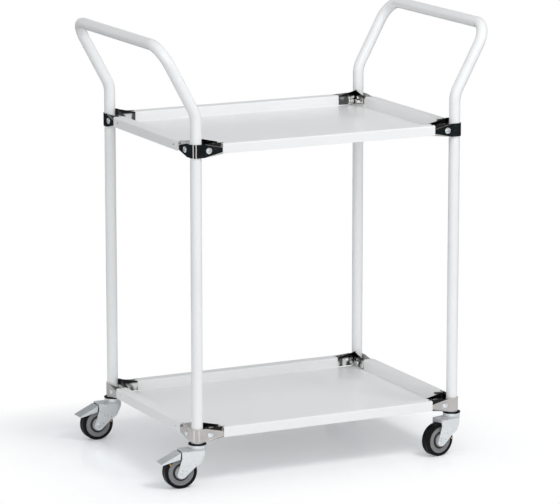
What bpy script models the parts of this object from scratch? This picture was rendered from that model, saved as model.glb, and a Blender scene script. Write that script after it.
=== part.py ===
"""Two-shelf transport trolley on four swivel casters, two of them braked.

Lengths are in metres. X runs along the trolley, Y across it and Z up from the floor.
"""
import math

import bmesh
import bpy
from mathutils import Matrix, Vector

# Post rectangle and clearance
POST_SPACING_LONG = 0.640
POST_SPACING_WIDE = 0.468
SHELF_SPACING = 0.635
SEAT_GAP = 0.0003

# Wheel
WHEEL_RADIUS = 0.0375
TYRE_DEPTH = 0.007
TYRE_WIDTH = 0.024
TYRE_SHOULDER = 0.003
CORE_WIDTH = 0.021
HUB_LENGTH = 0.0294
HUB_RADIUS = 0.0155
GROOVE_DEPTH = 0.004
GROOVE_WIDTH = 0.0045
AXLE_RADIUS = 0.004
AXLE_HEAD_RADIUS = 0.0055
AXLE_HEAD_HEIGHT = 0.002

# Fork
WHEEL_TRAIL = 0.042
FORK_SHEET = 0.0025
FORK_TYRE_CLEARANCE = 0.0095
FORK_HEEL_SHIFT = 0.002
AXLE_BOSS_RADIUS = 0.013
CUT_OVERRUN = 0.010
WELD_DISTANCE = 0.000001
# Front edge of the fork from the axle boss up to the heel, as shares of the reach and the rise
FORK_EDGE_SHARES = ((0.537, 0.232), (0.699, 0.333), (0.797, 0.535), (0.911, 0.717), (1.0, 0.859))
FORK_REAR_SHARE = 0.62

# Swivel head
HEAD_HEIGHT = 0.014
RACE_RADIUS = 0.0195
CAP_RADIUS = 0.0203
CAP_HEIGHT = 0.003
CAP_FALL = 0.0006
COLLAR_HEIGHT = 0.0027
STEM_LENGTH = 0.028
KINGPIN_RADIUS = 0.005
KINGPIN_HEAD_RADIUS = 0.008
KINGPIN_HEAD_HEIGHT = 0.0018

# Brake pedal
PEDAL_SHEET = 0.002
PEDAL_WIDTH = 0.034
PEDAL_SLOPE = math.radians(25)
PEDAL_TYRE_GAP = 0.0022
PEDAL_TIP_REACH = 0.034
PEDAL_FLANGE_DEPTH = 0.0145
PEDAL_FLANGE_SLANT = 0.0015
PEDAL_TIP_LIP = 0.0012
PEDAL_ROOT_OFFSET = 0.0024
PEDAL_TONGUE_WIDTH = 0.022
PEDAL_TONGUE_RISE_SHARE = 0.5
PIVOT_REACH_SHARE = 0.5
PIVOT_BARREL_RADIUS = 0.0033
PIVOT_PIN_RADIUS = 0.0022
PIVOT_PIN_PROUD = 0.0008

# Tube of the end frames
TUBE_RADIUS = 0.0125
TUBE_WALL = 0.0015
LEAN_START = 0.0625
LEAN_BEND_RADIUS = 0.060
HANDLE_REACH = 0.083
HANDLE_RISE = 0.216
HANDLE_BEND_RADIUS = 0.050

# Corner bracket
BRACKET_HEIGHT = 0.030
BRACKET_SHEET = 0.002
BRACKET_EDGE = 0.0016
SCOOP_RAMP = 0.0025
SCOOP_SEAT_DEPTH = 0.0022
SCOOP_END_DEPTH = 0.008
SCOOP_END_HEIGHT = 0.011
ARM_END_RISE = 0.004
TONGUE_LENGTH = 0.010

# Clamp bolt, clamp plate and its nut
BOLT_REACH = 0.025
BOLT_HEAD_RADIUS = 0.007
BOLT_HEAD_HEIGHT = 0.0036
BOLT_SEAT_MARGIN = 0.001
BOLT_RADIUS = 0.003
BOLT_PROUD = 0.001
CLAMP_SHEET = 0.002
CLAMP_RISE = 0.011
CLAMP_FOLD_START = 0.0185
NUT_HALF_WIDTH = 0.0048
NUT_HEIGHT = 0.0045
NUT_ROOT = 0.0005

# Tray
TRAY_SHEET = 0.0012
RIM_END_REACH = 0.058
RIM_PROUD = 0.0012
RIM_INSET = 0.0005
RIM_BELOW_BRACKET = 0.001
RIM_SKIRT = 0.0225
RIM_BEND = 0.003
FLOOR_DEPTH = 0.024
FLOOR_FOLD = 0.002
CORNER_RELIEF = 0.002

# Counts of facets
TUBE_SIDES = 20
BORE_SIDES = 10
LEAN_STEPS = 3
HANDLE_STEPS = 6
WHEEL_SIDES = 24
CORE_SIDES = 20
HEAD_SIDES = 14
BOLT_SIDES = 10
HOLE_SIDES = 8
CORNER_STEPS = 6
HEEL_STEPS = 8
BOSS_STEPS = 7
BEND_STEPS = 3
SMOOTH_ANGLE = math.radians(35)

# Heights and offsets that follow from the sizes above
AXLE_HEIGHT = WHEEL_RADIUS
FORK_UNDERSIDE = 2 * WHEEL_RADIUS + FORK_TYRE_CLEARANCE
FORK_TOP = FORK_UNDERSIDE + FORK_SHEET
FORK_HALF_WIDTH = HUB_LENGTH / 2 + SEAT_GAP + FORK_SHEET
TUBE_FOOT = FORK_TOP + HEAD_HEIGHT
LOWER_BRACKET_TOP = TUBE_FOOT + BRACKET_HEIGHT
UPPER_BRACKET_TOP = LOWER_BRACKET_TOP + SHELF_SPACING
TUBE_SEAT_RADIUS = TUBE_RADIUS + SEAT_GAP
BRACKET_FACE = TUBE_SEAT_RADIUS + BRACKET_SHEET
RIM_OUTER = BRACKET_FACE + RIM_PROUD
RIM_INNER = TUBE_RADIUS - RIM_INSET
CLAMP_FACE = RIM_INNER + SEAT_GAP
CORNERS = {
    "fl": (-1, -1, 0),
    "fr": (1, -1, 1),
    "br": (1, 1, 2),
    "bl": (-1, 1, 3),
}
LEVELS = {"lower": LOWER_BRACKET_TOP, "upper": UPPER_BRACKET_TOP}
SWIVEL_ANGLES = {
    "fl": math.radians(-4),
    "fr": math.radians(12),
    "br": math.radians(-12),
    "bl": math.radians(0),
}
BRAKED = ("fl", "bl")


def clear_scene():
    for item in list(bpy.data.objects):
        bpy.data.objects.remove(item, do_unlink=True)


def make_material(name, colour, metallic, roughness):
    material = bpy.data.materials.new(name)
    material.use_nodes = True
    shader = material.node_tree.nodes["Principled BSDF"]
    shader.inputs["Base Color"].default_value = (*colour, 1.0)
    shader.inputs["Metallic"].default_value = metallic
    shader.inputs["Roughness"].default_value = roughness
    material.diffuse_color = (*colour, 1.0)
    return material


def finish_mesh(name, bm, material):
    """Turn a bmesh into a mesh with outward faces and smooth round sides."""
    bmesh.ops.recalc_face_normals(bm, faces=bm.faces)
    mesh = bpy.data.meshes.new(name)
    bm.to_mesh(mesh)
    bm.free()
    mesh.materials.append(material)
    smooth_mesh(mesh)
    return mesh


def smooth_mesh(mesh):
    for face in mesh.polygons:
        face.use_smooth = True
    mesh.set_sharp_from_angle(angle=SMOOTH_ANGLE)


def place(name, mesh, location=(0, 0, 0), turn=0.0, parent=None):
    item = bpy.data.objects.new(name, mesh)
    item.location = location
    item.rotation_euler = (0, 0, turn)
    item.parent = parent
    bpy.context.scene.collection.objects.link(item)
    return item


def combine(mesh, cutter, operation):
    """Boolean of two meshes that share one frame; the result replaces the first."""
    target = bpy.data.objects.new("target", mesh)
    tool = bpy.data.objects.new("tool", cutter)
    for item in (target, tool):
        bpy.context.scene.collection.objects.link(item)
    modifier = target.modifiers.new("combine", "BOOLEAN")
    modifier.object = tool
    modifier.operation = operation
    modifier.solver = "EXACT"
    graph = bpy.context.evaluated_depsgraph_get()
    result = bpy.data.meshes.new_from_object(target.evaluated_get(graph))
    result.name = mesh.name
    for item in (target, tool):
        bpy.data.objects.remove(item, do_unlink=True)
    weld_mesh(result)
    smooth_mesh(result)
    return result


def weld_mesh(mesh):
    """Join corners that a Boolean left on top of each other."""
    bm = bmesh.new()
    bm.from_mesh(mesh)
    bmesh.ops.remove_doubles(bm, verts=bm.verts, dist=WELD_DISTANCE)
    bm.to_mesh(mesh)
    bm.free()


def revolve(name, profile, sides, axis, material):
    """Turn a profile of (radius, along) points round the Z or Y axis."""
    bm = bmesh.new()
    rings = []
    for radius, along in profile:
        if radius == 0:
            ring = [bm.verts.new(turned_point(0, 0, along, axis))] * sides
        else:
            ring = []
            for index in range(sides):
                angle = 2 * math.pi * index / sides
                ring.append(bm.verts.new(turned_point(radius, angle, along, axis)))
        rings.append(ring)
    closed = profile[0][0] != 0
    pairs = list(zip(rings, rings[1:]))
    if closed:
        pairs.append((rings[-1], rings[0]))
    for lower, upper in pairs:
        for index in range(sides):
            after = (index + 1) % sides
            corners = [lower[index], lower[after], upper[after], upper[index]]
            bm.faces.new(list(dict.fromkeys(corners)))
    return finish_mesh(name, bm, material)


def turned_point(radius, angle, along, axis):
    across = radius * math.cos(angle)
    up = radius * math.sin(angle)
    if axis == "Z":
        return Vector((across, up, along))
    return Vector((across, along, up))


def rod(name, radius, start, end, sides, axis, material):
    return revolve(name, [(0, start), (radius, start), (radius, end), (0, end)], sides, axis, material)


def hole_cutter(name, pin_radius, start, end, axis, material):
    """Cutter for a hole whose flats clear a pin of this radius and face the main axes."""
    half_step = math.pi / HOLE_SIDES
    mesh = rod(name, (pin_radius + SEAT_GAP) / math.cos(half_step), start, end, HOLE_SIDES, axis, material)
    mesh.transform(Matrix.Rotation(half_step, 4, axis))
    return mesh


def extrude_outline(name, outline, low, high, plane, material):
    """Prism on an outline in the XY plane or the XZ plane."""
    bm = bmesh.new()
    layers = []
    for level in (low, high):
        if plane == "XY":
            points = [Vector((first, second, level)) for first, second in outline]
        else:
            points = [Vector((first, level, second)) for first, second in outline]
        layers.append([bm.verts.new(point) for point in points])
    bm.faces.new(layers[0])
    bm.faces.new(layers[1])
    for index in range(len(outline)):
        after = (index + 1) % len(outline)
        bm.faces.new([layers[0][index], layers[0][after], layers[1][after], layers[1][index]])
    return finish_mesh(name, bm, material)


def extrude_ribbon(name, near, far, low, highs, material):
    """Bent strip between two lines of points that run side by side, with a top height for each pair."""
    bm = bmesh.new()
    rings = []
    for first, second, high in zip(near, far, highs):
        corners = [(*first, low), (*second, low), (*second, high), (*first, high)]
        rings.append([bm.verts.new(corner) for corner in corners])
    for before, after in zip(rings, rings[1:]):
        for index in range(len(before)):
            following = (index + 1) % len(before)
            bm.faces.new([before[index], before[following], after[following], after[index]])
    bm.faces.new(rings[0])
    bm.faces.new(rings[-1])
    return finish_mesh(name, bm, material)


def offset_line(points, distance):
    """Line at a set distance to the left of a bent line, with mitred corners."""
    sides = []
    for before, after in zip(points, points[1:]):
        along = (Vector(after) - Vector(before)).normalized()
        sides.append(Vector((-along.y, along.x)))
    sides = [sides[0]] + sides + [sides[-1]]
    result = []
    for point, first, second in zip(points, sides, sides[1:]):
        result.append(tuple(Vector(point) + (first + second) * distance / (1 + first.dot(second))))
    return result


def arc(centre, radius, start, end, steps):
    points = []
    for index in range(steps + 1):
        angle = start + (end - start) * index / steps
        points.append((centre[0] + radius * math.cos(angle), centre[1] + radius * math.sin(angle)))
    return points


def moved(mesh, matrix):
    copy = mesh.copy()
    copy.transform(matrix)
    return copy


def rounded_path(corners, bends):
    """Centre line through the corners, with a (radius, steps) arc at each inner one."""
    points = [corners[0]]
    for before, corner, after, bend in zip(corners, corners[1:], corners[2:], bends):
        radius, steps = bend
        incoming = (corner - before).normalized()
        outgoing = (after - corner).normalized()
        turn = incoming.angle(outgoing)
        start = corner - incoming * radius * math.tan(turn / 2)
        centre = corner + (outgoing - incoming).normalized() * radius / math.cos(turn / 2)
        axis = incoming.cross(outgoing).normalized()
        for index in range(steps + 1):
            rotation = Matrix.Rotation(turn * index / steps, 3, axis)
            points.append(centre + rotation @ (start - centre))
    points.append(corners[-1])
    return points


def path_directions(points):
    directions = []
    for index, point in enumerate(points):
        before = point - points[max(index - 1, 0)]
        after = points[min(index + 1, len(points) - 1)] - point
        directions.append((before.normalized() + after.normalized()).normalized())
    return directions


def hollow_tube(name, points, material):
    """Round tube along a centre line, with an open bore of half as many sides."""
    bm = bmesh.new()
    directions = path_directions(points)
    side = directions[0].orthogonal().normalized()
    outer_rings = []
    inner_rings = []
    for index, point in enumerate(points):
        direction = directions[index]
        if index:
            side = directions[index - 1].rotation_difference(direction) @ side
        other = direction.cross(side)
        outer_rings.append(tube_ring(bm, point, side, other, TUBE_RADIUS, TUBE_SIDES))
        inner_rings.append(tube_ring(bm, point, side, other, TUBE_RADIUS - TUBE_WALL, BORE_SIDES))
    for rings in (outer_rings, inner_rings):
        for lower, upper in zip(rings, rings[1:]):
            for index in range(len(lower)):
                after = (index + 1) % len(lower)
                bm.faces.new([lower[index], lower[after], upper[after], upper[index]])
    for outer, inner in ((outer_rings[0], inner_rings[0]), (outer_rings[-1], inner_rings[-1])):
        for index in range(BORE_SIDES):
            after = (index + 1) % BORE_SIDES
            rim = [outer[2 * index], outer[2 * index + 1], outer[2 * after]]
            bm.faces.new(rim + [inner[after], inner[index]])
    return finish_mesh(name, bm, material)


def tube_ring(bm, point, side, other, radius, sides):
    ring = []
    for index in range(sides):
        angle = 2 * math.pi * index / sides
        offset = side * math.cos(angle) + other * math.sin(angle)
        ring.append(bm.verts.new(point + offset * radius))
    return ring


def end_frame_mesh(direction, material):
    """Two posts and the push handle, bent from one tube."""
    half_width = POST_SPACING_WIDE / 2
    post = direction * POST_SPACING_LONG / 2
    bar = direction * (POST_SPACING_LONG / 2 + HANDLE_REACH)
    lean = UPPER_BRACKET_TOP + LEAN_START
    top = UPPER_BRACKET_TOP + HANDLE_RISE
    corners = [
        Vector((post, -half_width, TUBE_FOOT)),
        Vector((post, -half_width, lean)),
        Vector((bar, -half_width, top)),
        Vector((bar, half_width, top)),
        Vector((post, half_width, lean)),
        Vector((post, half_width, TUBE_FOOT)),
    ]
    lean_bend = (LEAN_BEND_RADIUS, LEAN_STEPS)
    handle_bend = (HANDLE_BEND_RADIUS, HANDLE_STEPS)
    points = rounded_path(corners, [lean_bend, handle_bend, handle_bend, lean_bend])
    return hollow_tube("end_frame", points, material)


def rim_profile():
    """Rim section from the floor's edge: up, over and down, as (outward, height) points."""
    top = -RIM_BELOW_BRACKET
    floor = top - FLOOR_DEPTH
    fold_centre = (-RIM_INNER - FLOOR_FOLD, floor + FLOOR_FOLD)
    inner_centre = (-RIM_INNER + RIM_BEND, top - RIM_BEND)
    outer_centre = (RIM_OUTER - RIM_BEND, top - RIM_BEND)
    quarter = math.pi / 2
    points = arc(fold_centre, FLOOR_FOLD, -quarter, 0, BEND_STEPS)
    points += arc(inner_centre, RIM_BEND, 2 * quarter, quarter, BEND_STEPS)
    points += arc(outer_centre, RIM_BEND, quarter, 0, BEND_STEPS)
    points.append((RIM_OUTER, top - RIM_SKIRT))
    return points


def tray_mesh(material):
    """Sheet tray: a flat floor folded up into four open-ended rims."""
    bm = bmesh.new()
    profile = rim_profile()
    floor = profile[0][1]
    floor_loop = []
    for side in range(4):
        turn = Matrix.Rotation(side * math.pi / 2, 3, "Z")
        along, across = POST_SPACING_LONG / 2, POST_SPACING_WIDE / 2
        if side % 2:
            along, across = across, along
        run = along - RIM_END_REACH
        edge = across - RIM_INNER
        fold = edge - FLOOR_FOLD
        floor_loop.append(bm.verts.new(turn @ Vector((-(along - RIM_INNER), -edge, floor))))
        for place_along, place_across in ((-run - CORNER_RELIEF, edge), (-run - CORNER_RELIEF, fold)):
            floor_loop.append(bm.verts.new(turn @ Vector((place_along, -place_across, floor))))
        rows = []
        for outward, height in profile:
            ends = [Vector((end, -(across + outward), height)) for end in (-run, run)]
            rows.append([bm.verts.new(turn @ end) for end in ends])
        for lower, upper in zip(rows, rows[1:]):
            bm.faces.new([lower[0], upper[0], upper[1], lower[1]])
        floor_loop += rows[0]
        for place_along, place_across in ((run + CORNER_RELIEF, fold), (run + CORNER_RELIEF, edge)):
            floor_loop.append(bm.verts.new(turn @ Vector((place_along, -place_across, floor))))
    bm.faces.new(floor_loop)
    bm.normal_update()
    mesh = bpy.data.meshes.new("tray")
    bm.to_mesh(mesh)
    bm.free()
    mesh.materials.append(material)
    smooth_mesh(mesh)
    return mesh


def thicken(item):
    modifier = item.modifiers.new("sheet", "SOLIDIFY")
    modifier.thickness = TRAY_SHEET
    modifier.offset = -1
    modifier.use_even_offset = True


def bracket_stations():
    """Depth and half height of the pressed web and rise of the lower edge along one arm, from its end."""
    start_height = BRACKET_HEIGHT / 2 - BRACKET_EDGE
    end_height = SCOOP_END_HEIGHT / 2
    seat_end = BOLT_REACH + BOLT_HEAD_RADIUS + BOLT_SEAT_MARGIN
    seat_start = BOLT_REACH - BOLT_HEAD_RADIUS - BOLT_SEAT_MARGIN
    scoop_start = seat_start - SCOOP_RAMP
    arm_end = RIM_END_REACH - SEAT_GAP
    stations = []
    for reach, depth in (
        (arm_end, SCOOP_END_DEPTH),
        (seat_end, SCOOP_SEAT_DEPTH),
        (seat_start, SCOOP_SEAT_DEPTH),
        (scoop_start, 0),
    ):
        share = (reach - scoop_start) / (arm_end - scoop_start)
        half_height = start_height + (end_height - start_height) * share
        stations.append((reach, depth, half_height, ARM_END_RISE * share))
    return stations


def bracket_ring(bm, locate, depth, half_height, rise):
    """Eight corners of the sheet: four on its outer face, four on its inner one."""
    middle = -BRACKET_HEIGHT / 2
    levels = (BRACKET_HEIGHT / 2, half_height, -half_height, -BRACKET_HEIGHT / 2 + rise)
    depths = (0, depth, depth, 0)
    outer = []
    inner = []
    for level, sunk in zip(levels, depths):
        face = BRACKET_FACE - sunk
        outer.append(bm.verts.new(Vector((*locate(face), middle + level))))
        inner.append(bm.verts.new(Vector((*locate(face - BRACKET_SHEET), middle + level))))
    return outer + inner[::-1]


def bracket_mesh(material):
    """Pressed corner bracket: round the tube, with a tapering scoop along each arm."""
    bm = bmesh.new()
    stations = bracket_stations()
    plain_height = stations[-1][2]
    rings = []
    for reach, depth, half_height, rise in stations:
        rings.append(bracket_ring(bm, lambda face, x=reach: (x, -face), depth, half_height, rise))
    for index in range(CORNER_STEPS + 1):
        angle = math.pi / 2 * index / CORNER_STEPS
        sine, cosine = math.sin(angle), math.cos(angle)
        locate = lambda face, s=sine, c=cosine: (-face * s, -face * c)
        rings.append(bracket_ring(bm, locate, 0, plain_height, 0))
    for reach, depth, half_height, rise in reversed(stations):
        rings.append(bracket_ring(bm, lambda face, y=reach: (-face, y), depth, half_height, rise))
    for lower, upper in zip(rings, rings[1:]):
        for index in range(len(lower)):
            after = (index + 1) % len(lower)
            bm.faces.new([lower[index], lower[after], upper[after], upper[index]])
    for ring, shift in ((rings[0], Vector((TONGUE_LENGTH, 0, 0))), (rings[-1], Vector((0, TONGUE_LENGTH, 0)))):
        bm.faces.new([ring[0], ring[1], ring[6], ring[7]])
        bm.faces.new([ring[2], ring[3], ring[4], ring[5]])
        root = [ring[1], ring[2], ring[5], ring[6]]
        tip = [bm.verts.new(corner.co + shift) for corner in root]
        bm.faces.new(tip)
        for index in range(len(root)):
            after = (index + 1) % len(root)
            bm.faces.new([root[index], root[after], tip[after], tip[index]])
    mesh = finish_mesh("bracket", bm, material)
    return drill_bolt_holes(mesh, material)


def drill_bolt_holes(mesh, material):
    """Cut the two bolt holes of a corner through a bracket or a clamp plate."""
    middle = -BRACKET_HEIGHT / 2
    end = BRACKET_FACE + NUT_HEIGHT + CUT_OVERRUN
    hole = hole_cutter("hole", BOLT_RADIUS, -end, end, "Y", material)
    first = moved(hole, Matrix.Translation((BOLT_REACH, 0, middle)))
    quarter = Matrix.Rotation(-math.pi / 2, 4, "Z")
    second = moved(hole, Matrix.Translation((0, BOLT_REACH, middle)) @ quarter)
    mesh = combine(mesh, first, "DIFFERENCE")
    return combine(mesh, second, "DIFFERENCE")


def clamp_mesh(material):
    """Angle plate inside the corner: its top slopes up to a fold at the tube, and each arm has a welded nut."""
    arm = RIM_END_REACH - SEAT_GAP
    fold = TUBE_SEAT_RADIUS * math.cos(math.pi / 4)
    face = [(arm, CLAMP_FACE), (CLAMP_FOLD_START, CLAMP_FACE), (fold, fold)]
    face += [(CLAMP_FACE, CLAMP_FOLD_START), (CLAMP_FACE, arm)]
    rear = offset_line(face, -CLAMP_SHEET)
    bottom = -RIM_BELOW_BRACKET - FLOOR_DEPTH + FLOOR_FOLD + SEAT_GAP
    tops = [CLAMP_RISE * (arm - max(point)) / (arm - fold) - RIM_BELOW_BRACKET for point in face]
    mesh = extrude_ribbon("clamp", face, rear, bottom, tops, material)
    middle = -BRACKET_HEIGHT / 2
    seat = CLAMP_FACE + CLAMP_SHEET
    nut_radius = NUT_HALF_WIDTH / math.cos(math.pi / 6)
    nut = rod("nut", nut_radius, seat - NUT_ROOT, seat + NUT_HEIGHT, 6, "Y", material)
    nut.transform(Matrix.Rotation(math.pi / 6, 4, "Y"))
    first = moved(nut, Matrix.Translation((BOLT_REACH, 0, middle)))
    quarter = Matrix.Rotation(-math.pi / 2, 4, "Z")
    second = moved(nut, Matrix.Translation((0, BOLT_REACH, middle)) @ quarter)
    mesh = combine(mesh, first, "UNION")
    mesh = combine(mesh, second, "UNION")
    return drill_bolt_holes(mesh, material)


def bolt_mesh(material):
    """Dome-headed bolt along Y, with its head's seat at Y = 0 and its shank towards +Y."""
    seat_to_nut = BRACKET_FACE - SCOOP_SEAT_DEPTH + CLAMP_FACE + CLAMP_SHEET + NUT_HEIGHT
    dome = BOLT_HEAD_RADIUS * math.cos(math.pi / 4)
    profile = [
        (0, -BOLT_HEAD_HEIGHT),
        (dome, -BOLT_HEAD_HEIGHT * math.cos(math.pi / 4)),
        (BOLT_HEAD_RADIUS, 0),
        (BOLT_RADIUS, 0),
        (BOLT_RADIUS, SEAT_GAP + seat_to_nut + BOLT_PROUD),
        (0, SEAT_GAP + seat_to_nut + BOLT_PROUD),
    ]
    return revolve("bolt", profile, BOLT_SIDES, "Y", material)


def head_mesh(material):
    """Swivel head: stem in the tube, dust cap, bearing drum and riveted kingpin, in floor heights."""
    bore = (TUBE_RADIUS - TUBE_WALL) * math.cos(math.pi / BORE_SIDES)
    stem = bore - SEAT_GAP
    collar_top = TUBE_FOOT - SEAT_GAP
    cap_top = TUBE_FOOT - COLLAR_HEIGHT
    race_foot = FORK_TOP + SEAT_GAP
    rivet_top = FORK_UNDERSIDE - SEAT_GAP
    profile = [
        (0, TUBE_FOOT + STEM_LENGTH),
        (stem, TUBE_FOOT + STEM_LENGTH),
        (stem, collar_top),
        (TUBE_RADIUS, collar_top),
        (TUBE_RADIUS, cap_top),
        (CAP_RADIUS, cap_top - CAP_FALL),
        (CAP_RADIUS, cap_top - CAP_HEIGHT),
        (RACE_RADIUS, cap_top - CAP_HEIGHT),
        (RACE_RADIUS, race_foot),
        (KINGPIN_RADIUS, race_foot),
        (KINGPIN_RADIUS, rivet_top),
        (KINGPIN_HEAD_RADIUS, rivet_top),
        (KINGPIN_HEAD_RADIUS, rivet_top - KINGPIN_HEAD_HEIGHT),
        (0, rivet_top - KINGPIN_HEAD_HEIGHT),
    ]
    return revolve("caster_head", profile, HEAD_SIDES, "Z", material)


def fork_side_outline():
    """Side view of the fork in the XZ plane, with the axle at X = -WHEEL_TRAIL."""
    heel = FORK_HEEL_SHIFT + FORK_HALF_WIDTH
    reach = heel + WHEEL_TRAIL
    rise = FORK_TOP - AXLE_HEIGHT
    rear_height = rise * FORK_REAR_SHARE
    tangent = math.pi - math.acos(AXLE_BOSS_RADIUS / rear_height) + math.pi / 2
    front = FORK_EDGE_SHARES[0]
    start = (-WHEEL_TRAIL, AXLE_HEIGHT + rear_height)
    first = (front[0] * reach, front[1] * rise)
    distance = math.hypot(*first)
    leave = math.atan2(first[1], first[0]) - math.acos(AXLE_BOSS_RADIUS / distance)
    outline = [(-WHEEL_TRAIL, FORK_TOP), start]
    outline += arc((-WHEEL_TRAIL, AXLE_HEIGHT), AXLE_BOSS_RADIUS, tangent, 2 * math.pi + leave, BOSS_STEPS)
    for along, up in FORK_EDGE_SHARES:
        outline.append((-WHEEL_TRAIL + along * reach, AXLE_HEIGHT + up * rise))
    outline.append((heel, FORK_TOP))
    return outline


def fork_plan(half_width, rear):
    """Plan of the fork: straight sides and a round heel in front of the swivel axis."""
    outline = [(rear, half_width), (rear, -half_width)]
    outline += arc((FORK_HEEL_SHIFT, 0), half_width, -math.pi / 2, math.pi / 2, HEEL_STEPS)
    return outline


def fork_mesh(braked, material):
    """Pressed fork with two cheeks, a top plate and a round heel, in floor heights."""
    rear = -(WHEEL_TRAIL + AXLE_BOSS_RADIUS + CUT_OVERRUN)
    side = extrude_outline(
        "fork", fork_side_outline(), -FORK_HALF_WIDTH - CUT_OVERRUN, FORK_HALF_WIDTH + CUT_OVERRUN, "XZ", material
    )
    plan = extrude_outline(
        "fork_plan", fork_plan(FORK_HALF_WIDTH, rear), -CUT_OVERRUN, FORK_TOP + CUT_OVERRUN, "XY", material
    )
    hollow = extrude_outline(
        "fork_hollow",
        fork_plan(FORK_HALF_WIDTH - FORK_SHEET, rear - CUT_OVERRUN),
        -2 * CUT_OVERRUN,
        FORK_UNDERSIDE,
        "XY",
        material,
    )
    width = FORK_HALF_WIDTH + CUT_OVERRUN
    axle = hole_cutter("axle_hole", AXLE_RADIUS, -width, width, "Y", material)
    axle.transform(Matrix.Translation((-WHEEL_TRAIL, 0, AXLE_HEIGHT)))
    kingpin = hole_cutter(
        "kingpin_hole", KINGPIN_RADIUS, FORK_UNDERSIDE - CUT_OVERRUN, FORK_TOP + CUT_OVERRUN, "Z", material
    )
    mesh = combine(side, plan, "INTERSECT")
    for cutter in (hollow, axle, kingpin):
        mesh = combine(mesh, cutter, "DIFFERENCE")
    if braked:
        pivot = hole_cutter("pivot_hole", PIVOT_PIN_RADIUS, -width, width, "Y", material)
        pivot.transform(Matrix.Translation(pivot_place()))
        mesh = combine(mesh, pivot, "DIFFERENCE")
    return mesh


def axle_mesh(material):
    """Riveted axle through both cheeks, centred on the wheel."""
    cheek = FORK_HALF_WIDTH + SEAT_GAP
    end = cheek + AXLE_HEAD_HEIGHT
    profile = [
        (0, -end),
        (AXLE_HEAD_RADIUS, -end),
        (AXLE_HEAD_RADIUS, -cheek),
        (AXLE_RADIUS, -cheek),
        (AXLE_RADIUS, cheek),
        (AXLE_HEAD_RADIUS, cheek),
        (AXLE_HEAD_RADIUS, end),
        (0, end),
    ]
    return revolve("axle", profile, BOLT_SIDES, "Y", material)


def core_mesh(material):
    """Wheel centre with a long hub and a groove between the hub and the web."""
    bore = AXLE_RADIUS + SEAT_GAP
    rim = (WHEEL_RADIUS - TYRE_DEPTH) * math.cos(math.pi / WHEEL_SIDES) - SEAT_GAP
    groove_middle = HUB_RADIUS + GROOVE_WIDTH / 2
    groove_face = CORE_WIDTH / 2 - GROOVE_DEPTH
    half = [
        (bore, HUB_LENGTH / 2),
        (HUB_RADIUS, HUB_LENGTH / 2),
        (groove_middle, groove_face),
        (HUB_RADIUS + GROOVE_WIDTH, CORE_WIDTH / 2),
        (rim, CORE_WIDTH / 2),
    ]
    profile = [(radius, -along) for radius, along in half]
    profile += half[::-1]
    return revolve("wheel_core", profile, CORE_SIDES, "Y", material)


def tyre_mesh(material):
    half = TYRE_WIDTH / 2
    side = [
        (WHEEL_RADIUS - TYRE_DEPTH, half - SEAT_GAP),
        (WHEEL_RADIUS - TYRE_SHOULDER * (1 - math.cos(math.pi / 4)) * 2, half),
        (WHEEL_RADIUS, half - TYRE_SHOULDER),
    ]
    profile = [(radius, -along) for radius, along in side]
    profile += side[::-1]
    return revolve("tyre", profile, WHEEL_SIDES, "Y", material)


def pivot_place():
    """Centre of the brake pedal's pivot, seen from the swivel axis at floor height."""
    level = 2 * WHEEL_RADIUS + FORK_TYRE_CLEARANCE * PEDAL_TONGUE_RISE_SHARE
    return Vector((-WHEEL_TRAIL * PIVOT_REACH_SHARE, 0, level))


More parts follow.
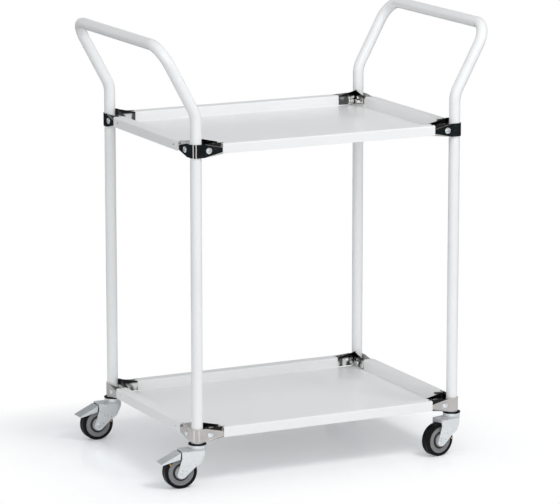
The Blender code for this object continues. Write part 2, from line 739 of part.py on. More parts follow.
def pedal_mesh(material):
    """Brake pedal: a sloping plate with side flanges and a tongue to its own pivot."""
    pivot = pivot_place()
    run = Vector((-math.cos(PEDAL_SLOPE), -math.sin(PEDAL_SLOPE)))
    lift = Vector((-math.sin(PEDAL_SLOPE), math.cos(PEDAL_SLOPE)))
    axle = Vector((-WHEEL_TRAIL, AXLE_HEIGHT))
    underside = axle + lift * (WHEEL_RADIUS + PEDAL_TYRE_GAP)
    topside = underside + lift * PEDAL_SHEET
    middle = (underside + topside) / 2
    tip = run * PEDAL_TIP_REACH
    overrun = run * CUT_OVERRUN
    root_front = -WHEEL_TRAIL - PEDAL_ROOT_OFFSET
    root_rear = root_front - PEDAL_SHEET
    tongue_top = pivot.z + PEDAL_SHEET / 2
    tongue_bottom = pivot.z - PEDAL_SHEET / 2

    def on_slope(base, across):
        return base + run * (across - base.x) / run.x

    root_top = on_slope(topside, root_front)
    outline = [
        tuple(root_top),
        tuple(topside + tip),
        tuple(underside + tip - lift * PEDAL_TIP_LIP),
        (root_top.x - PEDAL_FLANGE_SLANT, root_top.y - PEDAL_FLANGE_DEPTH),
    ]
    half = PEDAL_WIDTH / 2
    mesh = extrude_outline("pedal", outline, -half, half, "XZ", material)
    below = Vector((0, -PEDAL_FLANGE_DEPTH - CUT_OVERRUN))
    hollow_start = on_slope(underside, root_front) - overrun
    hollow_end = underside + tip + overrun
    hollow_outline = [
        tuple(hollow_start),
        tuple(hollow_end),
        tuple(hollow_end + below),
        tuple(hollow_start + below),
    ]
    inside = half - PEDAL_SHEET
    hollow = extrude_outline("pedal_hollow", hollow_outline, -inside, inside, "XZ", material)
    mesh = combine(mesh, hollow, "DIFFERENCE")
    tongue_outline = [
        (pivot.x, tongue_bottom),
        (root_rear, tongue_bottom),
        tuple(on_slope(middle, root_rear)),
        tuple(on_slope(middle, root_front)),
        (root_front, tongue_top),
        (pivot.x, tongue_top),
    ]
    half_tongue = PEDAL_TONGUE_WIDTH / 2
    tongue = extrude_outline("tongue", tongue_outline, -half_tongue, half_tongue, "XZ", material)
    cheek = HUB_LENGTH / 2
    barrel = rod("barrel", PIVOT_BARREL_RADIUS, -cheek, cheek, HOLE_SIDES, "Y", material)
    pin_end = FORK_HALF_WIDTH + PIVOT_PIN_PROUD
    pin = rod("pin", PIVOT_PIN_RADIUS, -pin_end, pin_end, HOLE_SIDES, "Y", material)
    mesh = combine(mesh, tongue, "UNION")
    for extra in (barrel, pin):
        extra.transform(Matrix.Translation(pivot))
        mesh = combine(mesh, extra, "UNION")
    mesh.transform(Matrix.Translation(-pivot))
    return mesh


def build_frames(paint):
    for name, direction in (("left", -1), ("right", 1)):
        place("end_frame_" + name, end_frame_mesh(direction, paint))


def build_trays(paint):
    mesh = tray_mesh(paint)
    for level, height in LEVELS.items():
        thicken(place("tray_" + level, mesh, (0, 0, height)))


def build_corners(chrome):
    bracket = bracket_mesh(chrome)
    clamp = clamp_mesh(chrome)
    bolt = bolt_mesh(chrome)
    seat = BRACKET_FACE - SCOOP_SEAT_DEPTH + SEAT_GAP
    for level, height in LEVELS.items():
        for corner, (long_side, wide_side, turns) in CORNERS.items():
            centre = Vector((long_side * POST_SPACING_LONG / 2, wide_side * POST_SPACING_WIDE / 2, height))
            turn = turns * math.pi / 2
            rotation = Matrix.Rotation(turn, 3, "Z")
            label = level + "_" + corner
            place("bracket_" + label, bracket, centre, turn)
            place("clamp_" + label, clamp, centre, turn)
            middle = -BRACKET_HEIGHT / 2
            first = centre + rotation @ Vector((BOLT_REACH, -seat, middle))
            second = centre + rotation @ Vector((-seat, BOLT_REACH, middle))
            place("bolt_" + label + "_a", bolt, first, turn)
            place("bolt_" + label + "_b", bolt, second, turn - math.pi / 2)


def build_casters(zinc, plastic, rubber):
    head = head_mesh(zinc)
    plain_fork = fork_mesh(False, zinc)
    braked_fork = fork_mesh(True, zinc)
    axle = axle_mesh(zinc)
    core = core_mesh(plastic)
    tyre = tyre_mesh(rubber)
    pedal = pedal_mesh(zinc)
    for corner, (long_side, wide_side, turns) in CORNERS.items():
        centre = (long_side * POST_SPACING_LONG / 2, wide_side * POST_SPACING_WIDE / 2, 0)
        place("caster_head_" + corner, head, centre)
        swivel = place("swivel_" + corner, None, centre, SWIVEL_ANGLES[corner])
        place("fork_" + corner, braked_fork if corner in BRAKED else plain_fork, parent=swivel)
        hub = (-WHEEL_TRAIL, 0, AXLE_HEIGHT)
        place("axle_" + corner, axle, hub, parent=swivel)
        place("wheel_core_" + corner, core, hub, parent=swivel)
        place("tyre_" + corner, tyre, hub, parent=swivel)
        if corner in BRAKED:
            place("pedal_" + corner, pedal, pivot_place(), parent=swivel)


def main():
    clear_scene()
    paint = make_material("white_paint", (0.86, 0.86, 0.86), 0.0, 0.35)
    chrome = make_material("bright_chrome", (0.72, 0.72, 0.73), 1.0, 0.12)
    zinc = make_material("zinc_plate", (0.70, 0.74, 0.77), 1.0, 0.32)
    plastic = make_material("grey_plastic", (0.22, 0.22, 0.23), 0.0, 0.5)
    rubber = make_material("black_rubber", (0.012, 0.012, 0.013), 0.0, 0.6)
    build_frames(paint)
    build_trays(paint)
    build_corners(chrome)
    build_casters(zinc, plastic, rubber)


main()
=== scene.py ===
"""Looks of the transport trolley: materials, finer pieces, light and camera."""
import math

import bmesh
import bpy
from mathutils import Matrix, Vector


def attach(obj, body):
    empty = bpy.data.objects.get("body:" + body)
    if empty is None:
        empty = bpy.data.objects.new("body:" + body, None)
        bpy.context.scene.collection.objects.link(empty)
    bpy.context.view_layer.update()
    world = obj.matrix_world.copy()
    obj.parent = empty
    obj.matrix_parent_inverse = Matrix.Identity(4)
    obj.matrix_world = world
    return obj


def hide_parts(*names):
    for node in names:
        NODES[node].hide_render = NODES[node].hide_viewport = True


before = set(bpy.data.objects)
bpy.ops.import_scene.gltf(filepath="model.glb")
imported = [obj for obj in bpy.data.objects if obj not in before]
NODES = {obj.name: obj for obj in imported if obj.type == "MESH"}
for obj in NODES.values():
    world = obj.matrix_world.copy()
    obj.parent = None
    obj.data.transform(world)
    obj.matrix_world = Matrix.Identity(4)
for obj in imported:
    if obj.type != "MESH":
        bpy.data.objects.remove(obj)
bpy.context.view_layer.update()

# Camera, fitted to the photograph
CAMERA_AZIMUTH = math.radians(26.23)
CAMERA_ELEVATION = math.radians(11.57)
CAMERA_DISTANCE = 7.6506
CAMERA_AIM = Vector((-0.0013, 0.0006, 0.4541))
CAMERA_LENS = 215.4
CAMERA_PIVOT = Vector((0, 0, 0.480))

# Light on the object
WORLD_HORIZON = 0.63
WORLD_ZENITH = 0.25
WORLD_BEHIND = 0.38
WORLD_LEFT = 0.93
LEFT_WALL = (-0.45, -0.88, 0.15)
KEY_POWER = 58.0
KEY_PLACE = (0.8, -2.4, 3.6)
KEY_TARGET = (0, 0, 0.4)
KEY_SIDE = 1.4

# The studio that only glossy rays see
MIRROR_HORIZON = 0.55
MIRROR_CEILING = 0.03
MIRROR_WINDOW = 1.0
WINDOW_PLACE = (-0.42, -0.84, 0.30)
MIRROR_FLOOR_START = 1.1
MIRROR_FLOOR_END = 1.7
STRIP_DEGREES = (-158, -111)

# The floor that the camera sees
FLOOR_REACH = 60.0
SHADOW_CENTRE = (-0.045, 0.07, 0.0)
SHADOW_HALF = (0.375, 0.27, 0.0)
SHADOW_FADE_START = 0.03
SHADOW_FADE_END = 0.24

# Sizes of the CAD model, in metres
POST_X = 0.320
POST_Y = 0.234
FOOT = 0.101
LOWER_TOP = 0.131
UPPER_TOP = 0.766
LEAN_START = 0.0625
HANDLE_REACH = 0.083
HANDLE_RISE = 0.216
LEAN_BEND = 0.060
HANDLE_BEND = 0.050
TUBE = 0.0125
TUBE_BORE = 0.011
FACE = 0.0148
BRACKET_HEIGHT = 0.030
SHEET = 0.002
SHEET_EDGE = 0.0004
ARM_START = 0.0145
ARM_END = 0.0577
ARM_TIP = 0.0635
ARM_END_HALF = 0.0055
ARM_LEAN = 0.008
ARM_BASE_RISE = 0.004
ARM_FOLD = 0.0007
BOLT_REACH = 0.025
BOLT_SEAT = 0.0142
WHEEL = 0.0375
TRAIL = 0.042
FORK_TOP = 0.087
FORK_SHEET = 0.0025
FORK_HALF = 0.0175
HEEL_SHIFT = 0.002
BOSS = 0.013
PEDAL_EDGE = 0.0006

# Small marks that only the scene has, in metres
SPOT_REACH = 0.0325
SPOT_SIDE = 0.0119
RIVET_SIDE = 0.0159
RIVET_INSET = 0.080
RIVET_DROP = 0.012

CORNERS = {"fl": (-1, -1, 0), "fr": (1, -1, 1), "br": (1, 1, 2), "bl": (-1, 1, 3)}
LEVELS = {"lower": LOWER_TOP, "upper": UPPER_TOP}
SWIVELS = {"fl": -4, "fr": 12, "br": -12, "bl": 0}
SPOT_ANGLES = {"fl": 143, "fr": 0, "br": 60, "bl": 8}


# ---------------------------------------------------------------- materials

def new_material(name, colour, metallic=0.0, roughness=0.5):
    material = bpy.data.materials.new(name)
    material.use_nodes = True
    shader = material.node_tree.nodes["Principled BSDF"]
    shader.inputs["Base Color"].default_value = (*colour, 1.0)
    shader.inputs["Metallic"].default_value = metallic
    shader.inputs["Roughness"].default_value = roughness
    return material


def add_node(material, kind, **values):
    node = material.node_tree.nodes.new(kind)
    for name, value in values.items():
        if name in node.inputs:
            node.inputs[name].default_value = value
        else:
            setattr(node, name, value)
    return node


def link(material, source, target):
    material.node_tree.links.new(source, target)


def object_position(material):
    return add_node(material, "ShaderNodeTexCoord").outputs["Object"]


def noise(material, scale, detail=3.0, roughness=0.5, stretch=None):
    """Noise in the piece's own coordinates, so that it stays with the piece."""
    position = object_position(material)
    if stretch:
        mapping = add_node(material, "ShaderNodeMapping")
        mapping.inputs["Scale"].default_value = stretch
        link(material, position, mapping.inputs["Vector"])
        position = mapping.outputs["Vector"]
    node = add_node(material, "ShaderNodeTexNoise", Scale=scale, Detail=detail, Roughness=roughness)
    link(material, position, node.inputs["Vector"])
    return node.outputs["Fac"]


def remap(material, value, low, high, from_low=0.3, from_high=0.7):
    node = add_node(material, "ShaderNodeMapRange")
    node.inputs["From Min"].default_value = from_low
    node.inputs["From Max"].default_value = from_high
    node.inputs["To Min"].default_value = low
    node.inputs["To Max"].default_value = high
    link(material, value, node.inputs["Value"])
    return node.outputs["Result"]


def tint(material, value, low, high):
    """Mix of two colours, of which each is a plain colour or the output of another node."""
    node = add_node(material, "ShaderNodeMix", data_type="RGBA")
    colours = [socket for socket in node.inputs if socket.type == "RGBA"]
    for socket, colour in zip(colours, (low, high)):
        if isinstance(colour, tuple):
            socket.default_value = (*colour, 1.0)
        else:
            link(material, colour, socket)
    link(material, value, node.inputs[0])
    return [socket for socket in node.outputs if socket.type == "RGBA"][0]


def bump(material, height, strength, distance):
    node = add_node(material, "ShaderNodeBump", Strength=strength, Distance=distance)
    link(material, height, node.inputs["Height"])
    return node.outputs["Normal"]


def shader_of(material):
    return material.node_tree.nodes["Principled BSDF"]


def powder_coat():
    """White powder coat: a fine orange peel, faint cloudiness and a soft gloss."""
    dark, light = (0.858, 0.860, 0.862), (0.885, 0.885, 0.884)
    material = new_material("white_powder_coat", light, roughness=0.34)
    shader = shader_of(material)
    shader.inputs["Coat Weight"].default_value = 0.25
    shader.inputs["Coat Roughness"].default_value = 0.12
    cloud = noise(material, 9.0, 4.0, 0.6)
    link(material, tint(material, remap(material, cloud, 0.0, 1.0), dark, light), shader.inputs["Base Color"])
    rough = remap(material, noise(material, 35.0, 2.0), 0.28, 0.40)
    link(material, rough, shader.inputs["Roughness"])
    peel = noise(material, 160.0, 1.0, 0.5)
    link(material, bump(material, peel, 0.05, 0.0003), shader.inputs["Normal"])
    return material


def chrome_plate(name, colour):
    """Plated pressing: mirror bright, with faint haze and the waviness of a pressed sheet."""
    material = new_material(name, colour, metallic=1.0, roughness=0.10)
    shader = shader_of(material)
    haze = remap(material, noise(material, 60.0, 4.0, 0.6), 0.07, 0.17)
    link(material, haze, shader.inputs["Roughness"])
    wave = noise(material, 90.0, 1.0)
    link(material, bump(material, wave, 0.12, 0.0006), shader.inputs["Normal"])
    return material


def bright_chrome():
    """Chrome of the brackets, with a faint cloudiness."""
    dark, light = (0.62, 0.60, 0.59), (0.72, 0.69, 0.67)
    material = chrome_plate("bright_chrome", light)
    cloud = remap(material, noise(material, 25.0, 3.0), 0.0, 1.0)
    link(material, tint(material, cloud, dark, light), shader_of(material).inputs["Base Color"])
    return material


def clamp_chrome():
    """Chrome of the folded clamps with painted reflections: soft dark and bright patches, and a painted black
    reflection along the upper edge.
    """
    material = chrome_plate("clamp_chrome", (0.72, 0.70, 0.68))
    # Painted reflections: soft dark and bright patches put into the base colour.
    reflection_noise = noise(material, 75.0, 0.0, stretch=(1.0, 1.0, 0.6))
    reflection_share = remap(material, reflection_noise, 0.0, 1.0, 0.36, 0.58)
    painted_reflections = tint(material, reflection_share, (0.12, 0.12, 0.125), (0.95, 0.94, 0.92))
    # Painted dark reflection: the colour turns black towards the top of the clamp.
    height = add_node(material, "ShaderNodeSeparateXYZ")
    generated = add_node(material, "ShaderNodeTexCoord").outputs["Generated"]
    link(material, generated, height.inputs[0])
    upper = remap(material, height.outputs["Z"], 0.0, 1.0, 0.50, 0.62)
    colour = tint(material, upper, painted_reflections, (0.022, 0.022, 0.025))
    link(material, colour, shader_of(material).inputs["Base Color"])
    return material


def zinc_plate():
    """Blue-bright zinc on rolled steel: soft mirror with fine rolling lines and cloudy passivation."""
    material = new_material("zinc_plate", (0.82, 0.86, 0.88), metallic=0.65, roughness=0.36)
    shader = shader_of(material)
    cloud = remap(material, noise(material, 45.0, 5.0, 0.65), 0.0, 1.0)
    link(material, tint(material, cloud, (0.84, 0.88, 0.91), (0.95, 0.97, 0.98)), shader.inputs["Base Color"])
    rough = remap(material, noise(material, 80.0, 3.0), 0.26, 0.42)
    link(material, rough, shader.inputs["Roughness"])
    lines = noise(material, 400.0, 2.0, 0.5, stretch=(0.15, 1.0, 1.0))
    link(material, bump(material, lines, 0.18, 0.0003), shader.inputs["Normal"])
    return material


def grey_plastic():
    """Moulded grey wheel centre with a fine grain, paler at the hub, with painted shade making it dark down in
    the groove.
    """
    material = new_material("grey_plastic", (0.24, 0.24, 0.25), roughness=0.48)
    shader = shader_of(material)
    grain = noise(material, 700.0, 3.0, 0.6)
    link(material, bump(material, grain, 0.3, 0.0003), shader.inputs["Normal"])
    flat = add_node(material, "ShaderNodeMapping")
    flat.inputs["Scale"].default_value = (1, 0, 1)
    link(material, object_position(material), flat.inputs["Vector"])
    radius = add_node(material, "ShaderNodeVectorMath", operation="LENGTH")
    link(material, flat.outputs["Vector"], radius.inputs[0])
    ramp = add_node(material, "ShaderNodeValToRGB")
    along = remap(material, radius.outputs["Value"], 0.0, 1.0, 0.010, 0.030)
    # Grey by radius: paler hub, painted shade in the groove, plain grey further out.
    stops = ((0.0, 0.36), (0.25, 0.34), (0.30, 0.06), (0.46, 0.05), (0.50, 0.22), (1.0, 0.235))
    while len(ramp.color_ramp.elements) < len(stops):
        ramp.color_ramp.elements.new(0.5)
    for element, (place, shade) in zip(ramp.color_ramp.elements, stops):
        element.position = place
        element.color = (shade, shade, shade * 1.03, 1.0)
    link(material, along, ramp.inputs["Fac"])
    link(material, ramp.outputs["Color"], shader.inputs["Base Color"])
    return material


def black_rubber():
    """Black tyre rubber: fine grain, with lighter scuffs."""
    material = new_material("black_rubber", (0.005, 0.005, 0.006), roughness=0.55)
    shader = shader_of(material)
    shader.inputs["Specular IOR Level"].default_value = 0.22
    grain = noise(material, 500.0, 4.0, 0.65)
    link(material, bump(material, grain, 0.35, 0.0004), shader.inputs["Normal"])
    scuff = remap(material, noise(material, 60.0, 5.0, 0.7), 0.0, 1.0, 0.5, 0.8)
    scuffed = tint(material, scuff, (0.003, 0.003, 0.0035), (0.010, 0.0095, 0.009))
    link(material, scuffed, shader.inputs["Base Color"])
    rough = remap(material, noise(material, 45.0, 3.0), 0.48, 0.66)
    link(material, rough, shader.inputs["Roughness"])
    return material


def spot_paint():
    """Yellow mark on the tyre's side."""
    material = new_material("yellow_spot", (0.75, 0.42, 0.06), roughness=0.5)
    shader = shader_of(material)
    cloud = remap(material, noise(material, 300.0, 3.0), 0.0, 1.0)
    link(material, tint(material, cloud, (0.62, 0.33, 0.05), (0.85, 0.50, 0.10)), shader.inputs["Base Color"])
    return material


# ---------------------------------------------------------------- mesh helpers

def finish_mesh(name, bm, material, smooth=40):
    mesh = bpy.data.meshes.new(name)
    bm.to_mesh(mesh)
    bm.free()
    mesh.materials.append(material)
    mesh.shade_smooth()
    mesh.set_sharp_from_angle(angle=math.radians(smooth))
    return mesh


def piece(name, mesh, body, matrix=None, replaces=()):
    item = bpy.data.objects.new(name, mesh)
    bpy.context.scene.collection.objects.link(item)
    if matrix is not None:
        item.matrix_world = matrix
    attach(item, body)
    if replaces:
        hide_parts(*replaces)
    return item


def bevel(item, width, segments=2, angle=40):
    modifier = item.modifiers.new("bevel", "BEVEL")
    modifier.width = width
    modifier.segments = segments
    modifier.limit_method = "ANGLE"
    modifier.angle_limit = math.radians(angle)
    modifier.harden_normals = True


def press(item, thickness):
    """Give an open skin its sheet thickness, narrow round edges and even normals on its flat faces."""
    sheet = item.modifiers.new("sheet", "SOLIDIFY")
    sheet.thickness = thickness
    sheet.offset = -1
    sheet.use_even_offset = True
    bevel(item, SHEET_EDGE, 2, 50)
    normals = item.modifiers.new("normals", "WEIGHTED_NORMAL")
    normals.keep_sharp = True
    normals.weight = 90


def soften(name, width, segments=2):
    """Round the edges of a CAD node with modifiers, its mesh left as it is."""
    item = NODES[name]
    weld = item.modifiers.new("weld", "WELD")
    weld.merge_threshold = 0.00002
    flat = item.modifiers.new("flat", "DECIMATE")
    flat.decimate_type = "DISSOLVE"
    flat.angle_limit = math.radians(1)
    bevel(item, width, segments)


def revolve(name, profile, sides, axis, material, smooth=35):
    """Surface of revolution of (radius, along) points about Y or Z, closed at both ends."""
    bm = bmesh.new()
    rings = []
    for radius, along in profile:
        ring = []
        for index in range(1 if radius < 1e-7 else sides):
            angle = 2 * math.pi * index / sides
            a, b = radius * math.cos(angle), radius * math.sin(angle)
            ring.append(bm.verts.new((a, along, b) if axis == "Y" else (a, b, along)))
        rings.append(ring)
    pairs = list(zip(rings, rings[1:]))
    if len(rings[0]) > 1:
        pairs.append((rings[-1], rings[0]))
    for lower, upper in pairs:
        for index in range(sides):
            after = (index + 1) % sides
            if len(lower) == 1:
                bm.faces.new([lower[0], upper[after], upper[index]])
            elif len(upper) == 1:
                bm.faces.new([lower[index], lower[after], upper[0]])
            else:
                bm.faces.new([lower[index], lower[after], upper[after], upper[index]])
    bmesh.ops.recalc_face_normals(bm, faces=bm.faces)
    return finish_mesh(name, bm, material, smooth)


def arc(centre, radius, start, end, steps):
    points = []
    for index in range(steps + 1):
        angle = start + (end - start) * index / steps
        points.append((centre[0] + radius * math.cos(angle), centre[1] + radius * math.sin(angle)))
    return points


def grid_faces(bm, rows):
    for lower, upper in zip(rows, rows[1:]):
        for index in range(len(lower) - 1):
            bm.faces.new([lower[index], lower[index + 1], upper[index + 1], upper[index]])


def face_outwards(bm, spot, outward):
    """Turn an open skin so that its face nearest a spot looks outwards."""
    bmesh.ops.recalc_face_normals(bm, faces=bm.faces)
    probe = min(bm.faces, key=lambda face: (face.calc_center_median() - spot).length)
    if probe.normal.dot(outward) < 0:
        bmesh.ops.reverse_faces(bm, faces=bm.faces)


# ---------------------------------------------------------------- end frames

def rounded_path(corners, bends):
    points = [corners[0]]
    for before, corner, after, (radius, steps) in zip(corners, corners[1:], corners[2:], bends):
        incoming = (corner - before).normalized()
        outgoing = (after - corner).normalized()
        turn = incoming.angle(outgoing)
        start = corner - incoming * radius * math.tan(turn / 2)
        centre = corner + (outgoing - incoming).normalized() * radius / math.cos(turn / 2)
        axis = incoming.cross(outgoing).normalized()
        for index in range(steps + 1):
            rotation = Matrix.Rotation(turn * index / steps, 3, axis)
            points.append(centre + rotation @ (start - centre))
    points.append(corners[-1])
    return points


def tube_mesh(points, material, sides=48):
    """Round tube along a centre line, with its bore and open ends."""
    bm = bmesh.new()
    directions = []
    for index, point in enumerate(points):
        before = (point - points[max(index - 1, 0)]).normalized()
        after = (points[min(index + 1, len(points) - 1)] - point).normalized()
        directions.append((before + after).normalized())
    side = directions[0].orthogonal().normalized()
    outer, inner = [], []
    for index, point in enumerate(points):
        direction = directions[index]
        if index:
            side = directions[index - 1].rotation_difference(direction) @ side
        other = direction.cross(side)
        for rings, radius in ((outer, TUBE), (inner, TUBE_BORE)):
            ring = []
            for step in range(sides):
                angle = 2 * math.pi * step / sides
                ring.append(bm.verts.new(point + (side * math.cos(angle) + other * math.sin(angle)) * radius))
            rings.append(ring)
    joined = list(zip(outer, outer[1:])) + list(zip(inner, inner[1:]))
    for first, second in joined + [(outer[0], inner[0]), (outer[-1], inner[-1])]:
        for step in range(sides):
            after = (step + 1) % sides
            bm.faces.new([first[step], first[after], second[after], second[step]])
    bmesh.ops.recalc_face_normals(bm, faces=bm.faces)
    return finish_mesh("end_frame_tube", bm, material, 50)


def add_end_frames(paint):
    for name, side in (("left", -1), ("right", 1)):
        post = side * POST_X
        bar = side * (POST_X + HANDLE_REACH)
        lean = UPPER_TOP + LEAN_START
        top = UPPER_TOP + HANDLE_RISE
        corners = [
            Vector((post, -POST_Y, FOOT)),
            Vector((post, -POST_Y, lean)),
            Vector((bar, -POST_Y, top)),
            Vector((bar, POST_Y, top)),
            Vector((post, POST_Y, lean)),
            Vector((post, POST_Y, FOOT)),
        ]
        lean_bend, handle_bend = (LEAN_BEND, 14), (HANDLE_BEND, 20)
        points = rounded_path(corners, [lean_bend, handle_bend, handle_bend, lean_bend])
        mesh = tube_mesh(points, paint)
        piece("end_tube_" + name, mesh, "frame", replaces=["end_frame_" + name])


# ---------------------------------------------------------------- corner brackets

def bracket_section(reach):
    """Outer face from top to bottom at one place along an arm, as (depth, height) points."""
    top = BRACKET_HEIGHT / 2
    share = max(0.0, (reach - ARM_START) / (ARM_END - ARM_START))
    half = top + (ARM_END_HALF - top) * share
    lean = ARM_LEAN * share
    bottom = -top + ARM_BASE_RISE * share
    fold = min(ARM_FOLD, 0.4 * (top - half))
    top_run = Vector((lean, top - half))
    low_run = Vector((lean, bottom + half))
    top_near = top_run * (fold / max(top_run.length, 0.0001))
    low_near = low_run * (fold / max(low_run.length, 0.0001))
    return [
        (lean, top),
        (top_near.x, half + top_near.y),
        (0.0, half - fold),
        (0.0, 0.0),
        (0.0, -half + fold),
        (low_near.x, -half + low_near.y),
        (lean, bottom),
    ]


def bracket_mesh(chrome):
    """Pressed corner bracket: flat outside, its edges folded inwards more and more along each arm."""
    bm = bmesh.new()
    middle = -BRACKET_HEIGHT / 2
    reaches = [ARM_TIP, ARM_END, 0.054, 0.048, 0.042, 0.037, 0.031, 0.025, 0.020, 0.017, 0.0152]
    reaches += [ARM_START, 0.008]
    columns = []
    for reach in reaches:
        section = bracket_section(reach)
        columns.append([bm.verts.new((reach, -(FACE - depth), middle + height)) for depth, height in section])
    for x, y in arc((0, 0), FACE, -math.pi / 2, -math.pi, 20):
        columns.append([bm.verts.new((x, y, middle + height)) for _, height in bracket_section(0.0)])
    for reach in reversed(reaches):
        section = bracket_section(reach)
        columns.append([bm.verts.new((-(FACE - depth), reach, middle + height)) for depth, height in section])
    grid_faces(bm, columns)
    bmesh.ops.dissolve_degenerate(bm, edges=bm.edges, dist=0.00002)
    face_outwards(bm, Vector((0.008, -FACE, middle)), Vector((0, -1, 0)))
    return finish_mesh("bracket", bm, chrome, 40)


def bolt_mesh(zinc):
    """Low domed bolt head with a fine edge, a threaded shank and its end."""
    profile = [(0.0, -0.0036)]
    for degrees in range(12, 91, 13):
        turn = math.radians(degrees)
        profile.append((0.0070 * math.sin(turn), -0.0006 - 0.0030 * math.cos(turn)))
    profile += [(0.0070, -0.0005), (0.0069, 0.0), (0.0030, 0.0)]
    along = 0.0015
    while along < 0.0315:
        profile += [(0.0030, along), (0.0026, along + 0.0004)]
        along += 0.0008
    profile += [(0.0028, 0.0320), (0.0020, 0.0325), (0.0, 0.0325)]
    return revolve("bolt", profile, 32, "Y", zinc, 50)


def add_corners(chrome, clamp, zinc):
    bracket, bolt = bracket_mesh(chrome), bolt_mesh(zinc)
    middle = -BRACKET_HEIGHT / 2
    for level, height in LEVELS.items():
        for corner, (side_x, side_y, turns) in CORNERS.items():
            label = level + "_" + corner
            place = Matrix.Translation((side_x * POST_X, side_y * POST_Y, height))
            place = place @ Matrix.Rotation(turns * math.pi / 2, 4, "Z")
            name, solid = "pressed_bracket_" + label, "bracket_" + label
            item = piece(name, bracket, "frame", place, [solid])
            press(item, SHEET)
            first = place @ Matrix.Translation((BOLT_REACH, -BOLT_SEAT, middle))
            second = place @ Matrix.Translation((-BOLT_SEAT, BOLT_REACH, middle))
            second = second @ Matrix.Rotation(-math.pi / 2, 4, "Z")
            piece("dome_bolt_" + label + "_a", bolt, "frame", first, ["bolt_" + label + "_a"])
            piece("dome_bolt_" + label + "_b", bolt, "frame", second, ["bolt_" + label + "_b"])
            NODES["clamp_" + label].data.materials[0] = clamp
            soften("clamp_" + label, SHEET_EDGE)


# ---------------------------------------------------------------- casters

def drum_mesh(zinc):
    """Bearing drum with its stem up in the tube and the riveted kingpin below."""
    profile = [(0.0, 0.129), (0.0085, 0.129), (0.0100, 0.1275), (0.0100, 0.1007), (0.0122, 0.1005)]
    profile += [(0.0124, 0.0985), (0.0140, 0.0982), (0.0180, 0.0979), (0.0184, 0.0955), (0.0190, 0.0951)]
    profile += [(0.0194, 0.0946), (0.0195, 0.0935), (0.0195, 0.0905), (0.0189, 0.0900), (0.0189, 0.0894)]
    profile += [(0.0195, 0.0889), (0.0195, 0.0880), (0.0190, 0.0873), (0.0049, 0.0873), (0.0049, 0.0842)]
    profile += [(0.0078, 0.0842), (0.0080, 0.0838), (0.0066, 0.0827), (0.0040, 0.0824), (0.0, 0.0824)]
    return revolve("drum", profile, 64, "Z", zinc, 35)


def cap_mesh(dark):
    """Dark disc on the bearing, in the black tyre rubber."""
    profile = [(0.0126, 0.0983), (0.0190, 0.0980), (0.0200, 0.0976), (0.0203, 0.0970), (0.0203, 0.0957)]
    profile += [(0.0200, 0.0953), (0.0186, 0.0953), (0.0126, 0.0957)]
    return revolve("cap", profile, 64, "Z", dark, 35)


def fork_edges():
    """Side view of a cheek: its boss round the axle and its front edge up to the heel, as (along, height)."""
    rise = FORK_TOP - WHEEL
    reach = HEEL_SHIFT + FORK_HALF + TRAIL
    rear_height = rise * 0.62
    tangent = math.pi - math.acos(BOSS / rear_height) + math.pi / 2
    shares = [(0.537, 0.232), (0.625, 0.275), (0.699, 0.333), (0.752, 0.425), (0.797, 0.535), (0.852, 0.625)]
    shares += [(0.911, 0.717), (0.962, 0.79), (1.0, 0.859)]
    front = [(-TRAIL + along * reach, WHEEL + up * rise) for along, up in shares]
    first = (front[0][0] + TRAIL, front[0][1] - WHEEL)
    leave = math.atan2(first[1], first[0]) - math.acos(BOSS / math.hypot(*first))
    boss = [(-TRAIL, WHEEL + rear_height)] + arc((-TRAIL, WHEEL), BOSS, tangent, 2 * math.pi + leave, 28)
    return boss, front


def front_height(along, front):
    """Height of the front edge at a distance along the fork."""
    for before, after in zip(front, front[1:]):
        if along <= after[0]:
            share = (along - before[0]) / (after[0] - before[0])
            return before[1] + (after[1] - before[1]) * share
    return front[-1][1]


def fork_mesh(zinc):
    """Outer skin of the fork: flat cheeks, a round heel and a top plate on a rounded fold."""
    bm = bmesh.new()
    fold = 0.0045
    wall_top = FORK_TOP - fold
    boss, front = fork_edges()
    straight = [-TRAIL, -0.036, -0.030, -0.024, -0.018, -0.012, -0.006, 0.0]
    heel = (HEEL_SHIFT, 0)
    plan = [(Vector((along, -FORK_HALF)), Vector((0, -1))) for along in straight]
    for x, y in arc(heel, FORK_HALF, -math.pi / 2, math.pi / 2, 24):
        plan.append((Vector((x, y)), (Vector((x, y)) - Vector(heel)).normalized()))
    plan += [(Vector((along, FORK_HALF)), Vector((0, 1))) for along in reversed(straight)]
    columns = []
    for place, normal in plan:
        column = []
        for step in range(7):
            turn = math.pi / 2 * step / 6
            spot = place - normal * fold * (1 - math.cos(turn))
            column.append(bm.verts.new((spot.x, spot.y, wall_top + fold * math.sin(turn))))
        centre = Vector((min(place.x, HEEL_SHIFT), 0))
        inner = place - normal * fold
        for share in (0.5, 1.0):
            spot = inner.lerp(centre, share)
            column.append(bm.verts.new((spot.x, spot.y, FORK_TOP)))
        columns.append(column)
    grid_faces(bm, columns)
    first, last = len(straight) - 1, len(plan) - len(straight)
    walls = []
    for index in range(first, last + 1):
        place = plan[index][0]
        height = front_height(place.x, front)
        wall = [columns[index][0]]
        for share in (0.25, 0.5, 0.75, 1.0):
            wall.append(bm.verts.new((place.x, place.y, wall_top + (height - wall_top) * share)))
        walls.append(wall)
    grid_faces(bm, walls)
    for wall, top, side in (
        (walls[0], columns[:first], -FORK_HALF),
        (walls[-1], columns[last + 1:][::-1], FORK_HALF),
    ):
        loop = [column[0] for column in top] + wall
        loop += [bm.verts.new((x, side, z)) for x, z in reversed(front) if x < 0]
        loop += [bm.verts.new((x, side, z)) for x, z in reversed(boss)]
        bm.faces.new(loop)
    bmesh.ops.remove_doubles(bm, verts=bm.verts, dist=0.00005)
    face_outwards(bm, Vector((0, 0, FORK_TOP)), Vector((0, 0, 1)))
    return finish_mesh("fork", bm, zinc, 40)


